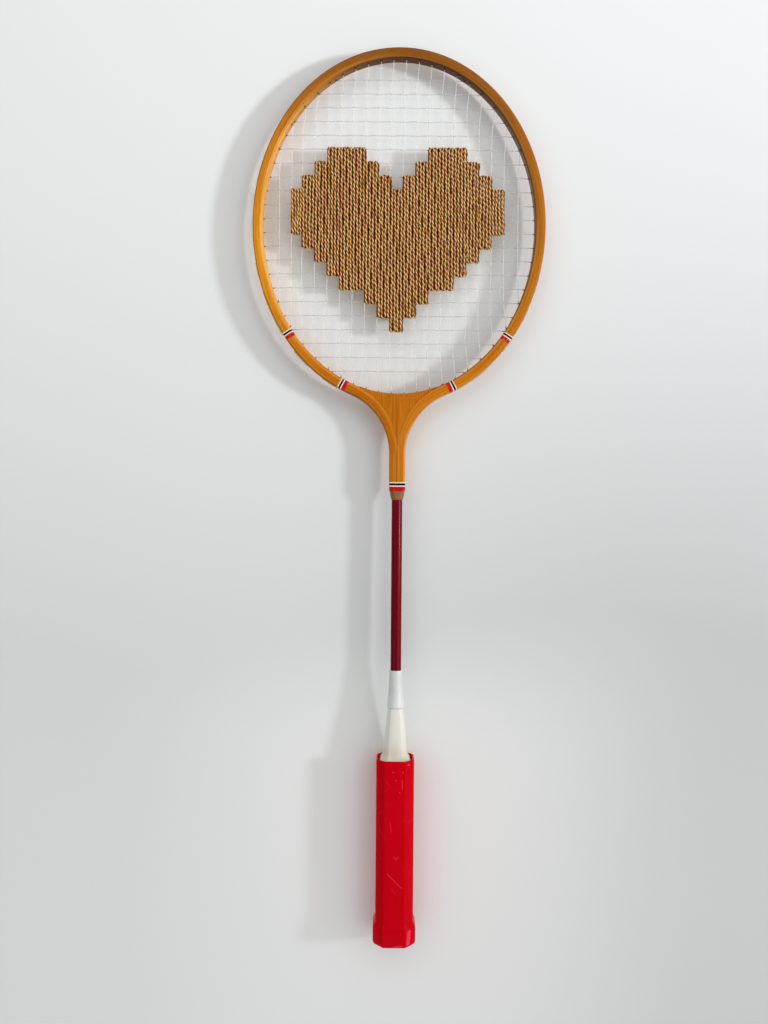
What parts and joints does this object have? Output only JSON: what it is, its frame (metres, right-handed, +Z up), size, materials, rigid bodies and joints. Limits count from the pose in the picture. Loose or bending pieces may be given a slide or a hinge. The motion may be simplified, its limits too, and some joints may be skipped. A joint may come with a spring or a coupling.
{
  "type": "badminton racket",
  "caption": "Wooden badminton racket with a laminated oval hoop, a laced string bed with a wound twine heart, a thin steel shaft and an octagonal moulded grip.",
  "frame": {"origin": "the hanging seat: the middle of the flat at the inside top of the hoop, where the racket rests on a peg", "axes": "+Z up along the shaft to the head, which hangs head up; the front faces -Y; +X is to the right as seen from the front"},
  "size_m": [0.2207, 0.031, 0.6681],
  "materials": {
    "honey_ply": "varnished honey-coloured hardwood",
    "dark_ply": "varnished darker hardwood",
    "pale_ply": "varnished pale hardwood",
    "wedge_wood": "varnished hardwood, grain along the handle",
    "core_wood": "bare sanded softwood",
    "shaft_enamel": "glossy burgundy enamel",
    "cool_white_plastic": "satin cool white moulding",
    "ivory_plastic": "satin ivory moulding",
    "red_plastic": "glossy red moulding, lightly scratched",
    "nylon_string": "translucent nylon cord",
    "gold_twine": "twisted gold and brown twine"
  },
  "bodies": {
    "root": {"hoop_outer_ply": "honey_ply", "hoop_middle_ply": "dark_ply", "hoop_inner_ply": "pale_ply", "throat_wedge": "wedge_wood", "shaft": "shaft_enamel", "upper_collar": "cool_white_plastic", "lower_cone": "ivory_plastic", "handle_core": "core_wood", "grip_sleeve": "red_plastic", "main_string": "nylon_string", "cross_string": "nylon_string", "yarn_column_01": "gold_twine", "yarn_column_02": "gold_twine", "yarn_column_03": "gold_twine", "yarn_column_04": "gold_twine", "yarn_column_05": "gold_twine", "yarn_column_06": "gold_twine", "yarn_column_07": "gold_twine", "yarn_column_08": "gold_twine", "yarn_column_09": "gold_twine", "yarn_column_10": "gold_twine", "yarn_column_11": "gold_twine", "yarn_column_12": "gold_twine", "yarn_column_13": "gold_twine", "yarn_column_14": "gold_twine", "yarn_column_15": "gold_twine", "yarn_column_16": "gold_twine", "yarn_column_17": "gold_twine"}
  },
  "joints": []
}
